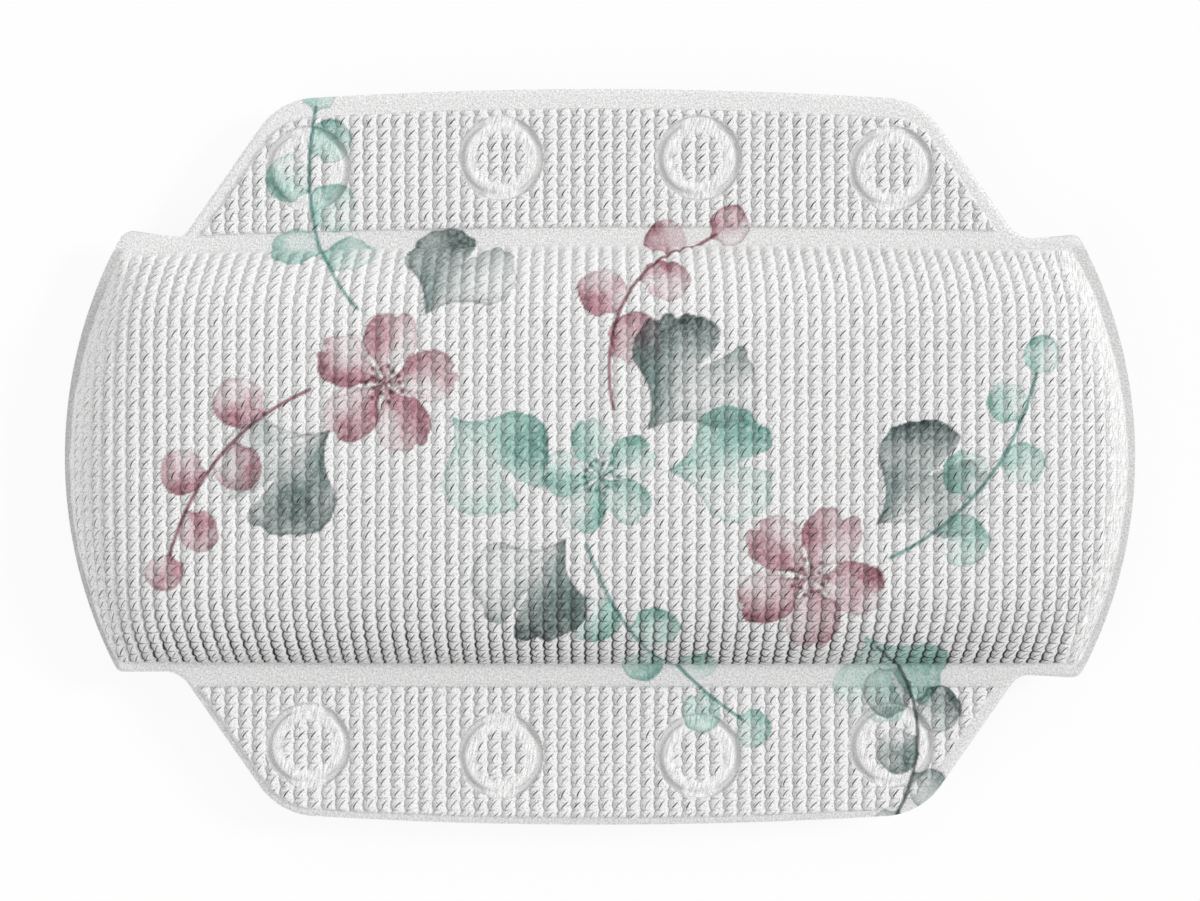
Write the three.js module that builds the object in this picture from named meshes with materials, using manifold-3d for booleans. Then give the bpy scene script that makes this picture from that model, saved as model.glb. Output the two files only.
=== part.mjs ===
// A bath pillow: a foam core between a front and a back sheet of vinyl, with a flap along its top and bottom
// edges and eight suction cups. The sheets are welded flat to each other round the core and round each flap,
// and every cup is welded to the back of a flap by a pressed ring. A flap folds along the weld beside it.
// Millimetres, +Z up. The pillow lies face up on its back and its cups, and z = 0 is the surface it rests on.
import * as THREE from "three";
import { mergeVertices } from "three/addons/utils/BufferGeometryUtils.js";
import Module from "manifold-3d";

const wasm = await Module();
wasm.setup();

// Overall size
const PILLOW_WIDTH = 320;
const PILLOW_LENGTH = 220;
const CROWN_HEIGHT = 19; // how far the front stands above its weld
const BACK_SWELL = 12; // how far the back would swell if the surface under it didn't flatten it
const END_BOW_RADIUS = 138; // the bowed left and right ends
const FOLD_Y = 67.6; // the line where a flap folds
const CUSHION_CORNER_RADIUS = 4;

// The two sheets, at full thickness and where the weld has pressed them
const FRONT_SHEET = 2.4;
const BACK_SHEET = 1.6;
const FRONT_WELD = 1.2;
const BACK_WELD = 0.8;
const SEAM_Z = 11; // the plane where the sheets meet
const END_WELD_WIDTH = 3.2;
const SIDE_WELD_WIDTH = 5.8;
const FLAP_WELD_WIDTH = 4.6;
const FOLD_WELD_WIDTH = 1.2; // the part of the weld beside the core that lies past the fold
const WELD_SLOPE = 0.9; // where a sheet rises out of its weld

// A flap
const FLAP_ROOT_HALF = 123.3;
const FLAP_SLANT = THREE.MathUtils.degToRad(55);
const FLAP_CORNER_RADIUS = 21;
const FLAP_TOP_BOW_RADIUS = 1400;

// The fold, which lets a flap turn back by a right angle and forward by half of one
const FOLD_GAP = 0.3;
const FOLD_BACK = THREE.MathUtils.degToRad(90);
const FOLD_FORWARD = THREE.MathUtils.degToRad(45);

// Suction cups, and the ring that welds one to its flap
const INNER_CUP = { x: 29.6, y: 89.3 };
const OUTER_CUP = { x: 87.2, y: 86.2 };
const CUP_RADIUS = 13;
const CUP_SEAL_WIDTH = 1.2; // the flat rim that seals
const CUP_HOLLOW = 4.9;
const CUP_LIP = 0.5; // the skirt's thickness at its rim
const CUP_DOME_Z = 6.8; // where the outside of the skirt would close over the axis
const NECK_RADIUS = 4.6;
const NECK_FLARE = 0.8; // where the neck widens into the base disc
const CUP_BASE_RADIUS = 13.5;
const CUP_BASE_THICKNESS = 1;
const RING_INNER_RADIUS = 10.8;
const RING_OUTER_RADIUS = 12.9;
const RING_SLOPE = 0.4;
const RING_PUFF = 0.5; // the sheet inside the ring stands this much proud
const PUFF_EDGE = 1.4; // the width over which it rises beside the ring
const PUFF_ROLL = 3.6; // and the width of that raised roll

const CORE_GAP = 0.3; // between the core and the sheets round it

// How a crown swells. A higher flatness makes it broader, and a lower roundness makes its edge steeper. The
// dome is the share of the height that rises gently all the way to the middle.
const FRONT_SWELL = { sideFlatness: 6, sideRoundness: 0.5, endFlatness: 14, endRoundness: 0.8, dome: 0.18 };
const BACK_SWELL_SHAPE = { sideFlatness: 4, sideRoundness: 1, endFlatness: 9, endRoundness: 1, dome: 0 };

// Facets
const ROUND_SEGMENTS = 24;
const DOME_STEPS = 4;
const ARC_STEP = THREE.MathUtils.degToRad(12); // an outline's arcs turn this much at a step
const ARC_RUN = 12; // and run no further than this
const FRONT_GRID = { columns: 34, rows: 18 };
const FRONT_INNER_GRID = { columns: 22, rows: 12 };
const BACK_GRID = { columns: 24, rows: 14 };
const BACK_INNER_GRID = { columns: 18, rows: 10 };
const COLUMN_CROWDING = 2.6; // a grid's steps shorten towards the edges, where the crown turns down
const ROW_CROWDING = 1.7;

const X_AXIS = new THREE.Vector3(1, 0, 0);
const Y_AXIS = new THREE.Vector3(0, 1, 0);
const Z_AXIS = new THREE.Vector3(0, 0, 1);

const foldAxisZ = SEAM_Z + (FRONT_WELD - BACK_WELD) / 2;
const frontTopZ = SEAM_Z + FRONT_SHEET;
const frontWeldZ = SEAM_Z + FRONT_WELD;
const backWeldZ = SEAM_Z - BACK_WELD;
const backFaceZ = SEAM_Z - BACK_SHEET;

const VINYL = { color: 0xe6e6e6, roughness: 0.55, metalness: 0 };
const FINISHES = {
  frontVinyl: () => new THREE.MeshStandardMaterial(VINYL),
  backVinyl: () => new THREE.MeshStandardMaterial({ ...VINYL, color: 0xdededc }),
  foam: () => new THREE.MeshStandardMaterial({ color: 0xf0e6c4, roughness: 0.95, metalness: 0 }),
  clearVinyl: () =>
    new THREE.MeshStandardMaterial({ color: 0xdfe9ea, roughness: 0.15, transparent: true, opacity: 0.55 }),
};

// Joining and cutting
function toSolid(geometry) {
  const bare = geometry.clone();
  bare.deleteAttribute("normal");
  bare.deleteAttribute("uv");
  const merged = mergeVertices(bare, 1e-4);
  const vertProperties = merged.attributes.position.array;
  const triVerts = new Uint32Array(merged.index.array);
  return new wasm.Manifold(new wasm.Mesh({ numProp: 3, vertProperties, triVerts }));
}

function toGeometry(solid) {
  const { vertProperties, triVerts } = solid.getMesh();
  const geometry = new THREE.BufferGeometry();
  geometry.setAttribute("position", new THREE.BufferAttribute(vertProperties, 3));
  geometry.setIndex(new THREE.BufferAttribute(triVerts, 1));
  return geometry;
}

const join = (...geometries) => geometries.map(toSolid).reduce((a, b) => a.add(b));
const cut = (solid, ...geometries) => geometries.map(toSolid).reduce((a, b) => a.subtract(b), solid);

// An outline of arcs joined by straight runs. Each arc is its centre, radius and two angles.
function outlineOf(...arcs) {
  const points = arcs.flatMap(([x, y, radius, from, to]) => {
    const turn = Math.abs(to - from);
    const steps = Math.max(2, Math.ceil(turn / ARC_STEP), Math.ceil((turn * radius) / ARC_RUN));
    return new THREE.EllipseCurve(x, y, radius, radius, from, to).getPoints(steps);
  });
  const apart = (point, i) => point.distanceTo(points[(i + 1) % points.length]) > 0.01;
  return new THREE.Shape(points.filter(apart));
}

// A plate of an outline between two levels. Its edges slope in at both faces where a slope is given.
function plate(outline, low, high, slope = 0) {
  const geometry = new THREE.ExtrudeGeometry(outline, {
    depth: high - low - 2 * slope,
    bevelEnabled: slope > 0,
    bevelThickness: slope,
    bevelSize: slope,
    bevelOffset: -slope,
    bevelSegments: 2,
  });
  return geometry.translate(0, 0, low + slope);
}

// Points of radius and level along a dome, from one radius out to another. The dome would reach the axis at
// high, and it meets the level low at the radius of its rim.
function domeArc(rim, low, high, from, to) {
  const height = high - low;
  const sphere = (rim ** 2 + height ** 2) / (2 * height);
  const start = Math.asin(from / sphere);
  const turn = Math.asin(to / sphere) - start;
  return Array.from({ length: DOME_STEPS + 1 }, (_, step) => {
    const angle = start + (turn * step) / DOME_STEPS;
    return [sphere * Math.sin(angle), high - sphere * (1 - Math.cos(angle))];
  });
}

// A body turned round the upright line through x, y, from points of radius and level.
function turned(profile, { x, y }) {
  const points = profile.map(([radius, level]) => new THREE.Vector2(radius, level));
  return new THREE.LatheGeometry(points, ROUND_SEGMENTS).rotateX(Math.PI / 2).translate(x, y, 0);
}

// The cushion's plan: bowed ends joined by straight sides, drawn in by an inset.
const bowCentre = PILLOW_WIDTH / 2 - END_BOW_RADIUS;
const endReach = (y, inset) => bowCentre + Math.sqrt((END_BOW_RADIUS - inset) ** 2 - y ** 2);

function cushionOutline(halfLength) {
  const cornerY = halfLength - CUSHION_CORNER_RADIUS;
  const reach = Math.sqrt((END_BOW_RADIUS - CUSHION_CORNER_RADIUS) ** 2 - cornerY ** 2);
  const cornerX = bowCentre + reach;
  const lean = Math.atan2(cornerY, reach);
  const quarter = Math.PI / 2;
  return outlineOf(
    [bowCentre, 0, END_BOW_RADIUS, -lean, lean],
    [cornerX, cornerY, CUSHION_CORNER_RADIUS, lean, quarter],
    [-cornerX, cornerY, CUSHION_CORNER_RADIUS, quarter, 2 * quarter - lean],
    [-bowCentre, 0, END_BOW_RADIUS, 2 * quarter - lean, 2 * quarter + lean],
    [-cornerX, -cornerY, CUSHION_CORNER_RADIUS, 2 * quarter + lean, 3 * quarter],
    [cornerX, -cornerY, CUSHION_CORNER_RADIUS, 3 * quarter, 4 * quarter - lean],
  );
}

// A crowned body over the cushion's plan. Upright walls rise from footZ to springZ, and the crown rises from
// there. It is broad across the pillow and drops steeply at its ends, like a sheet drawn over a foam block.
function crown({ inset, footZ, springZ, height }, swelling, { columns, rows }) {
  const { sideFlatness, sideRoundness, endFlatness, endRoundness, dome } = swelling;
  const halfLength = FOLD_Y - SIDE_WELD_WIDTH - inset;
  const swell = (s, t) => {
    const shoulder = (1 - t ** sideFlatness) ** sideRoundness * (1 - s ** endFlatness) ** endRoundness;
    return (1 - dome) * shoulder + dome * (1 - t ** 2) * (1 - s ** 2);
  };
  const share = (step, steps, crowding) => {
    const even = (2 * step) / steps - 1;
    return Math.sign(even) * (1 - (1 - Math.abs(even)) ** crowding);
  };
  const positions = [];
  const addGrid = (level) =>
    Array.from({ length: rows + 1 }, (_, row) => {
      const t = share(row, rows, ROW_CROWDING);
      const y = halfLength * t;
      return Array.from({ length: columns + 1 }, (__, column) => {
        const s = share(column, columns, COLUMN_CROWDING);
        const x = endReach(y, END_WELD_WIDTH + inset) * s;
        return positions.push(x, y, level(Math.abs(s), Math.abs(t))) / 3 - 1;
      });
    });
  const top = addGrid((s, t) => springZ + height * swell(s, t));
  const foot = addGrid(() => footZ);

  const index = [];
  const addQuad = (a, b, c, d) => index.push(a, b, c, a, c, d);
  for (let row = 0; row < rows; row++)
    for (let column = 0; column < columns; column++) {
      addQuad(top[row][column], top[row][column + 1], top[row + 1][column + 1], top[row + 1][column]);
      addQuad(foot[row][column], foot[row + 1][column], foot[row + 1][column + 1], foot[row][column + 1]);
    }
  for (let column = 0; column < columns; column++) {
    addQuad(foot[0][column], foot[0][column + 1], top[0][column + 1], top[0][column]);
    addQuad(top[rows][column], top[rows][column + 1], foot[rows][column + 1], foot[rows][column]);
  }
  for (let row = 0; row < rows; row++) {
    addQuad(top[row][0], top[row + 1][0], foot[row + 1][0], foot[row][0]);
    addQuad(foot[row][columns], foot[row + 1][columns], top[row + 1][columns], top[row][columns]);
  }
  const geometry = new THREE.BufferGeometry();
  geometry.setAttribute("position", new THREE.Float32BufferAttribute(positions, 3));
  return geometry.setIndex(index);
}

function frontCrown(inset, footZ, grid) {
  return crown({ inset, footZ, springZ: frontWeldZ, height: CROWN_HEIGHT - inset }, FRONT_SWELL, grid);
}

// The back swells less than the front, from a gentle slope, and lies flat on the surface under the pillow.
function backCrown(inset, footZ, grid) {
  const levels = { inset, footZ: -footZ, springZ: -backWeldZ, height: BACK_SWELL - inset };
  const swollen = toSolid(crown(levels, BACK_SWELL_SHAPE, grid).rotateX(Math.PI));
  const depth = 2 * BACK_SWELL;
  const under = new THREE.BoxGeometry(2 * PILLOW_WIDTH, PILLOW_LENGTH, depth);
  return toGeometry(cut(swollen, under.translate(0, 0, inset - depth / 2)));
}

// A flap's outline runs up its slanted side, round the corner and along the bowed top, drawn in by an inset.
function flapOutline(inset, rootY) {
  const upSide = new THREE.Vector2(-Math.cos(FLAP_SLANT), Math.sin(FLAP_SLANT));
  const outward = new THREE.Vector2(Math.sin(FLAP_SLANT), Math.cos(FLAP_SLANT));
  const onSide = new THREE.Vector2(FLAP_ROOT_HALF, FOLD_Y).addScaledVector(outward, -inset);
  const root = onSide.clone().addScaledVector(upSide, (rootY - onSide.y) / upSide.y);

  const topRadius = FLAP_TOP_BOW_RADIUS - inset;
  const topCentreY = PILLOW_LENGTH / 2 - FLAP_TOP_BOW_RADIUS;
  const cornerRadius = FLAP_CORNER_RADIUS - inset;
  // the corner's centre lies one corner radius inside both the slanted side and the bowed top
  const start = onSide.clone().addScaledVector(outward, -cornerRadius);
  const fromTopCentre = start.clone().sub(new THREE.Vector2(0, topCentreY));
  const along = fromTopCentre.dot(upSide);
  const reach = topRadius - cornerRadius;
  const travel = Math.sqrt(along ** 2 - fromTopCentre.lengthSq() + reach ** 2) - along;
  const corner = start.addScaledVector(upSide, travel);
  const sideAngle = outward.angle();
  const topAngle = Math.atan2(corner.y - topCentreY, corner.x);

  const outline = outlineOf(
    [corner.x, corner.y, cornerRadius, sideAngle, topAngle],
    [0, topCentreY, topRadius, topAngle, Math.PI - topAngle],
    [-corner.x, corner.y, cornerRadius, Math.PI - topAngle, Math.PI - sideAngle],
  );
  outline.lineTo(-root.x, rootY);
  outline.lineTo(root.x, rootY);
  return outline;
}

// The space along a fold that keeps its two mitred edges apart as the flap turns.
function foldSpace() {
  const half = FOLD_GAP / 2;
  const reach = 2 * FRONT_SHEET;
  const openAbove = half + reach * Math.tan(FOLD_FORWARD / 2);
  const openBelow = half + reach * Math.tan(FOLD_BACK / 2);
  const profile = new THREE.Shape([
    new THREE.Vector2(half, 0),
    new THREE.Vector2(openAbove, reach),
    new THREE.Vector2(-openAbove, reach),
    new THREE.Vector2(-half, 0),
    new THREE.Vector2(-openBelow, -reach),
    new THREE.Vector2(openBelow, -reach),
  ]);
  const prism = new THREE.ExtrudeGeometry(profile, { depth: PILLOW_WIDTH, bevelEnabled: false });
  prism.translate(0, 0, -PILLOW_WIDTH / 2);
  // the profile was drawn in y and z, and the prism runs along x
  prism.applyMatrix4(new THREE.Matrix4().makeBasis(Y_AXIS, Z_AXIS, X_AXIS));
  return prism.translate(0, FOLD_Y, foldAxisZ);
}

function cushionFrontCover() {
  const weld = plate(cushionOutline(FOLD_Y), SEAM_Z, frontWeldZ);
  const outside = frontCrown(0, SEAM_Z, FRONT_GRID);
  const inside = frontCrown(FRONT_SHEET, backWeldZ, FRONT_INNER_GRID);
  return cut(join(weld, outside), inside, foldSpace(), foldSpace().rotateZ(Math.PI));
}

function cushionBackCover() {
  const weld = plate(cushionOutline(FOLD_Y), backWeldZ, SEAM_Z);
  const outside = backCrown(0, SEAM_Z, BACK_GRID);
  const inside = backCrown(BACK_SHEET, frontWeldZ, BACK_INNER_GRID);
  return cut(join(weld, outside), inside, foldSpace(), foldSpace().rotateZ(Math.PI));
}

function foamCore() {
  const upper = frontCrown(FRONT_SHEET + CORE_GAP, backWeldZ, FRONT_INNER_GRID);
  const lower = backCrown(BACK_SHEET + CORE_GAP, SEAM_Z, BACK_INNER_GRID);
  return join(upper, lower);
}

// The pressed ring round a cup's base, as the space that the welding tool leaves in the front sheet.
function weldRing(place) {
  const above = frontTopZ + 2 * RING_PUFF;
  const profile = [
    [RING_INNER_RADIUS + RING_SLOPE, frontWeldZ],
    [RING_OUTER_RADIUS - RING_SLOPE, frontWeldZ],
    [RING_OUTER_RADIUS, frontTopZ],
    [RING_OUTER_RADIUS, above],
    [RING_INNER_RADIUS - RING_SLOPE, above],
    [RING_INNER_RADIUS, frontTopZ],
    [RING_INNER_RADIUS + RING_SLOPE, frontWeldZ],
  ];
  return turned(profile, place);
}

// Inside the ring the sheet stays full and stands a little proud, lowest in the middle.
function ringPuff(place) {
  const profile = [
    [0, frontWeldZ],
    [RING_INNER_RADIUS + RING_SLOPE / 2, frontWeldZ],
    [RING_INNER_RADIUS - RING_SLOPE / 2, frontTopZ],
    [RING_INNER_RADIUS - PUFF_EDGE, frontTopZ + RING_PUFF],
    [RING_INNER_RADIUS - PUFF_ROLL, frontTopZ + RING_PUFF / 2],
    [0, frontTopZ + RING_PUFF / 2],
  ];
  return turned(profile, place);
}

const CUP_PLACES = [
  { x: -OUTER_CUP.x, y: OUTER_CUP.y },
  { x: -INNER_CUP.x, y: INNER_CUP.y },
  INNER_CUP,
  OUTER_CUP,
];

function flapFrontSheet() {
  const weld = plate(flapOutline(0, FOLD_Y), SEAM_Z, frontWeldZ);
  const full = plate(flapOutline(FLAP_WELD_WIDTH, FOLD_Y + FOLD_WELD_WIDTH), SEAM_Z, frontTopZ, WELD_SLOPE);
  const pressed = cut(join(weld, full), ...CUP_PLACES.map(weldRing), foldSpace());
  return CUP_PLACES.map(ringPuff).map(toSolid).reduce((sheet, puff) => sheet.add(puff), pressed);
}

function flapBackSheet() {
  const slope = WELD_SLOPE / 2;
  const weld = plate(flapOutline(0, FOLD_Y), backWeldZ, SEAM_Z);
  const full = plate(flapOutline(FLAP_WELD_WIDTH, FOLD_Y + FOLD_WELD_WIDTH), backFaceZ, SEAM_Z, slope);
  return cut(join(weld, full), foldSpace());
}

// A cup is one moulding: a hollow skirt with a flat sealing rim, a neck, and the base disc that is welded on.
function suctionCup(place) {
  const sealInner = CUP_RADIUS - CUP_SEAL_WIDTH;
  const hollow = domeArc(sealInner, 0, CUP_HOLLOW, 0, sealInner);
  const skirt = domeArc(CUP_RADIUS, CUP_LIP, CUP_DOME_Z, NECK_RADIUS, CUP_RADIUS).reverse();
  const baseLow = backFaceZ - CUP_BASE_THICKNESS;
  const baseEdge = CUP_BASE_THICKNESS / 3;
  const profile = [
    ...hollow,
    [CUP_RADIUS, 0],
    ...skirt,
    [NECK_RADIUS, baseLow - NECK_FLARE],
    [NECK_RADIUS + NECK_FLARE, baseLow],
    [CUP_BASE_RADIUS - baseEdge, baseLow],
    [CUP_BASE_RADIUS, baseLow + baseEdge],
    [CUP_BASE_RADIUS, backFaceZ],
    [0, backFaceZ],
  ];
  return turned(profile, place);
}

function piece(name, geometry, finish) {
  const mesh = new THREE.Mesh(geometry, finish());
  mesh.name = name;
  return mesh;
}

function cushion() {
  const group = new THREE.Group();
  group.add(
    piece("cushion_front_cover", toGeometry(cushionFrontCover()), FINISHES.frontVinyl),
    piece("cushion_back_cover", toGeometry(cushionBackCover()), FINISHES.backVinyl),
    piece("foam_core", toGeometry(foamCore()), FINISHES.foam),
  );
  return group;
}

// A flap with its cups, drawn for the top of the pillow. Turned half round, it is the one at the bottom.
function flap(side) {
  const group = new THREE.Group();
  group.add(
    piece(`${side}_flap_front_sheet`, toGeometry(flapFrontSheet()), FINISHES.frontVinyl),
    piece(`${side}_flap_back_sheet`, toGeometry(flapBackSheet()), FINISHES.backVinyl),
  );
  CUP_PLACES.forEach((place, i) => {
    group.add(piece(`${side}_suction_cup_${i + 1}`, suctionCup(place), FINISHES.clearVinyl));
  });
  return group;
}

const pillow = new THREE.Group();
const bottomFlap = flap("bottom");
bottomFlap.rotation.z = Math.PI;
pillow.add(cushion(), flap("top"), bottomFlap);

export default pillow;
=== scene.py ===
import bmesh
import bpy
import numpy as np
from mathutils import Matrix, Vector


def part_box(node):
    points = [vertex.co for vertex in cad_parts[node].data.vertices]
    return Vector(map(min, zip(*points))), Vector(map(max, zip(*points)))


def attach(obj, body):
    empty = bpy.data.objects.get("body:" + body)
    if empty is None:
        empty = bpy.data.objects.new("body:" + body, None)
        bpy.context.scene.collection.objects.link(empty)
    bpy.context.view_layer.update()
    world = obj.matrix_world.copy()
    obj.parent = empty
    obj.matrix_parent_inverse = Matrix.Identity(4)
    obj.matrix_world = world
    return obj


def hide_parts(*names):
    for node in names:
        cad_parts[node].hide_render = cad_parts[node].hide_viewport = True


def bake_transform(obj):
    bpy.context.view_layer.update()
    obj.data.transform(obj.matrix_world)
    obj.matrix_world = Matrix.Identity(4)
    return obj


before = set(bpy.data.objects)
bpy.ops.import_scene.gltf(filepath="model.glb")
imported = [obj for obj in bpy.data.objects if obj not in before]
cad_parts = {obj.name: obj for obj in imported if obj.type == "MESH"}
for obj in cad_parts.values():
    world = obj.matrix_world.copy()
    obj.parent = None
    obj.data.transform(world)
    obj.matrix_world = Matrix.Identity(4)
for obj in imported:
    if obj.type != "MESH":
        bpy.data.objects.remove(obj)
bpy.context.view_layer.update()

MM = 0.001

# The view and the light: a camera straight above, as in a catalogue picture, a broad lamp from the right
# and a little from the top, and weaker ones from the lower left and low from the top.
PICTURE_WIDTH = 358.9
PICTURE_LEVEL = 11  # the height of the seam, where the picture spans that width
PICTURE_SHIFT_Y = 1.9
CAMERA_HEIGHT = 2200
SENSOR = 36
KEY_AIM = (0.79, 0.22, 0.52)
KEY_STRENGTH = 1.85
KEY_SPREAD = 0.3
FILL_AIM = (-0.66, -0.42, 0.52)
FILL_STRENGTH = 1.0
FILL_SPREAD = 0.9
TOP_AIM = (0, 0.9, 0.42)
TOP_STRENGTH = 0.55

lens = SENSOR * (CAMERA_HEIGHT - PICTURE_LEVEL) / PICTURE_WIDTH
camera = bpy.data.objects.new("camera", bpy.data.cameras.new("camera"))
camera.data.lens = lens
camera.data.sensor_width = SENSOR
camera.location = Vector((0, PICTURE_SHIFT_Y, CAMERA_HEIGHT)) * MM
bpy.context.scene.collection.objects.link(camera)
bpy.context.scene.camera = camera
bpy.context.scene.view_settings.view_transform = "Standard"


def sun(name, aim, strength, spread):
    lamp = bpy.data.objects.new(name, bpy.data.lights.new(name, "SUN"))
    lamp.data.energy = strength
    lamp.data.angle = spread
    lamp.rotation_mode = "QUATERNION"
    lamp.rotation_quaternion = Vector(aim).to_track_quat("Z", "Y")
    bpy.context.scene.collection.objects.link(lamp)


sun("key", KEY_AIM, KEY_STRENGTH, KEY_SPREAD)
sun("fill", FILL_AIM, FILL_STRENGTH, FILL_SPREAD)
sun("top", TOP_AIM, TOP_STRENGTH, FILL_SPREAD)


class Value:
    """A socket's number, on which sums are written as they are read."""

    def __init__(self, tree, socket):
        self.tree = tree
        self.socket = socket

    def math(self, operation, *others):
        made = self.tree.nodes.new("ShaderNodeMath")
        made.operation = operation
        for place, value in zip(made.inputs, (self, *others)):
            feed(self.tree, place, value)
        return Value(self.tree, made.outputs[0])

    def __add__(self, other):
        return self.math("ADD", other)

    def __sub__(self, other):
        return self.math("SUBTRACT", other)

    def __rsub__(self, other):
        return self.math("MULTIPLY_ADD", -1, other)

    def __mul__(self, other):
        return self.math("MULTIPLY", other)

    def __truediv__(self, other):
        return self.math("DIVIDE", other)

    __radd__ = __add__
    __rmul__ = __mul__


def feed(tree, place, value):
    if isinstance(value, Value):
        tree.links.new(value.socket, place)
    else:
        place.default_value = value


class Finish:
    """A material, and one way to add any node to it: its kind, its settings, then its sockets by name."""

    def __init__(self, name, **shader):
        self.material = bpy.data.materials.new(name)
        self.material.use_nodes = True
        self.tree = self.material.node_tree
        self.shader = self.tree.nodes["Principled BSDF"]
        for socket, value in shader.items():
            self.shader.inputs[socket.replace("_", " ").title()].default_value = value

    def add(self, kind, settings=(), sockets=(), output=0):
        made = self.tree.nodes.new("ShaderNode" + kind)
        for name, value in dict(settings).items():
            setattr(made, name, value)
        for name, value in dict(sockets).items():
            feed(self.tree, made.inputs[name], value)
        return Value(self.tree, made.outputs[output])

    def parts(self, vector):
        made = self.tree.nodes.new("ShaderNodeSeparateXYZ")
        feed(self.tree, made.inputs[0], vector)
        return [Value(self.tree, socket) for socket in made.outputs]

    def between(self, value, start, end):
        """0 where the value is at start, 1 where it is at end, with a soft rise between them."""
        sockets = {"Value": value, "From Min": start, "From Max": end}
        return self.add("MapRange", {"interpolation_type": "SMOOTHSTEP"}, sockets)

    def mixed(self, share, first, second, blend="MIX"):
        settings = {"data_type": "RGBA", "blend_type": blend}
        return self.add("Mix", settings, {0: share, 6: first, 7: second}, 2)

    def paint(self, socket, value):
        feed(self.tree, self.shader.inputs[socket], value)


# The floor shows white to the camera, in gloss and through clear vinyl, apart from the pillow's faint
# shadow on it. The sky is as white to the camera, and lights the pillow evenly.
FLOOR_SIZE = 8000
FLOOR_SINK = 0.3
FLOOR_SHADE = (0.9, 0.9, 0.9, 1)
SHADOW_SHARE = 0.1
SKY_STRENGTH = 0.46
WHITE = (1, 1, 1, 1)

floor_mesh = bmesh.new()
bmesh.ops.create_grid(floor_mesh, x_segments=1, y_segments=1, size=FLOOR_SIZE * MM / 2)
bmesh.ops.translate(floor_mesh, verts=floor_mesh.verts, vec=(0, 0, -FLOOR_SINK * MM))
floor = bpy.data.objects.new("floor", bpy.data.meshes.new("floor"))
floor_mesh.to_mesh(floor.data)
floor_mesh.free()
bpy.context.scene.collection.objects.link(floor)

paper = Finish("white paper", base_color=FLOOR_SHADE, roughness=0.9)
path = paper.tree.nodes.new("ShaderNodeLightPath")
seen = Value(paper.tree, path.outputs["Is Camera Ray"])
mirrored = Value(paper.tree, path.outputs["Is Glossy Ray"])
through = Value(paper.tree, path.outputs["Is Transmission Ray"])
white = paper.add("Emission", sockets={"Color": WHITE, "Strength": 1.0})
shown = seen.math("MAXIMUM", mirrored).math("MAXIMUM", through) * (1 - SHADOW_SHARE)
plain = Value(paper.tree, paper.shader.outputs[0])
surface = paper.add("MixShader", sockets={0: shown, 1: plain, 2: white})
feed(paper.tree, paper.tree.nodes["Material Output"].inputs["Surface"], surface)
floor.data.materials.append(paper.material)

sky = bpy.data.worlds.new("sky")
sky.use_nodes = True
bpy.context.scene.world = sky
behind = Value(sky.node_tree, sky.node_tree.nodes.new("ShaderNodeLightPath").outputs["Is Camera Ray"])
lit = sky.node_tree.nodes["Background"].inputs
feed(sky.node_tree, lit["Color"], WHITE)
feed(sky.node_tree, lit["Strength"], behind * (1 - SKY_STRENGTH) + SKY_STRENGTH)


# The cushion's front is one sheet of soft foamed vinyl, embossed with a waffle and welded flat round the
# foam. Its crown is broad and drops steeply to the welds. The plan is bowed at both ends, which leaves a
# flat ear past each end of the flaps.


def box_mm(node):
    low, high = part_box(node)
    return low / MM, high / MM


cover_low, cover_high = box_mm("cushion_front_cover")
HALF_WIDTH = cover_high.x
CROWN_TOP = cover_high.z
SEAM_Z = cover_low.z
SHEET = 2.4
WELD = 1.2
WELD_Z = SEAM_Z + WELD
FOLD_Y = 67.6
SIDE_WELD_WIDTH = 6.5
CROWN_HALF = FOLD_Y - SIDE_WELD_WIDTH
END_BOW_RADIUS = 138
EVEN_END_WELD = 2.3  # the width that the crown's columns are laid out for
END_WELD_WIDTHS = {-1: (1.4, 1.6, 3.0), 1: (2.4, 2.3, 3.8)}  # left and right end: below, middle, top

# The welds along the top (1) and the bottom (-1) are bowed. In the bow's middle the crown ends past
# CROWN_HALF by its rise, and half a bow to either side of that by the rise less the bow.
FOOT_RISES = {1: 2.1, -1: 1.1}
FOOT_BOWS = {1: 2.1, -1: 0.5}
BOW_MIDDLE = 22
BOW_HALF = 140

# The ears aren't cut evenly. For the left and the right ear, at the top (1) and the bottom (-1), these are
# where the cut edge lies, how steeply it rises outwards, and its corner's radius.
EAR_ENDS = {1: (65.9, 65.4), -1: (64.2, 65.3)}
EAR_RISES = {1: (0.085, 0.06), -1: (0, 0.035)}
EAR_CORNERS = {1: (4.5, 3.5), -1: (2.6, 3.5)}
EAR_START = 131.5
EAR_STEPS = 13
EAR_CROWDING = 1.6

# The sheet leans down towards the seam along its cut edges, and less steeply on the end rims.
EDGE_ROLL = 1.1
EDGE_THINNING = 0.45
RIM_DROP = 0.5
RIM_STEPS = 7

# The crown's profiles are full and drop late, with a little of a plain dome and soft lumps in them.
SIDE_FULLNESS = 7
SIDE_DROP = 0.75
END_FULLNESS = 14
END_DROP = 0.9
DOME = 0.18
SOFTNESS = 0.35
FOOT_SOFTNESS = 0.8
WELD_UNEVENNESS = 0.35

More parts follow.
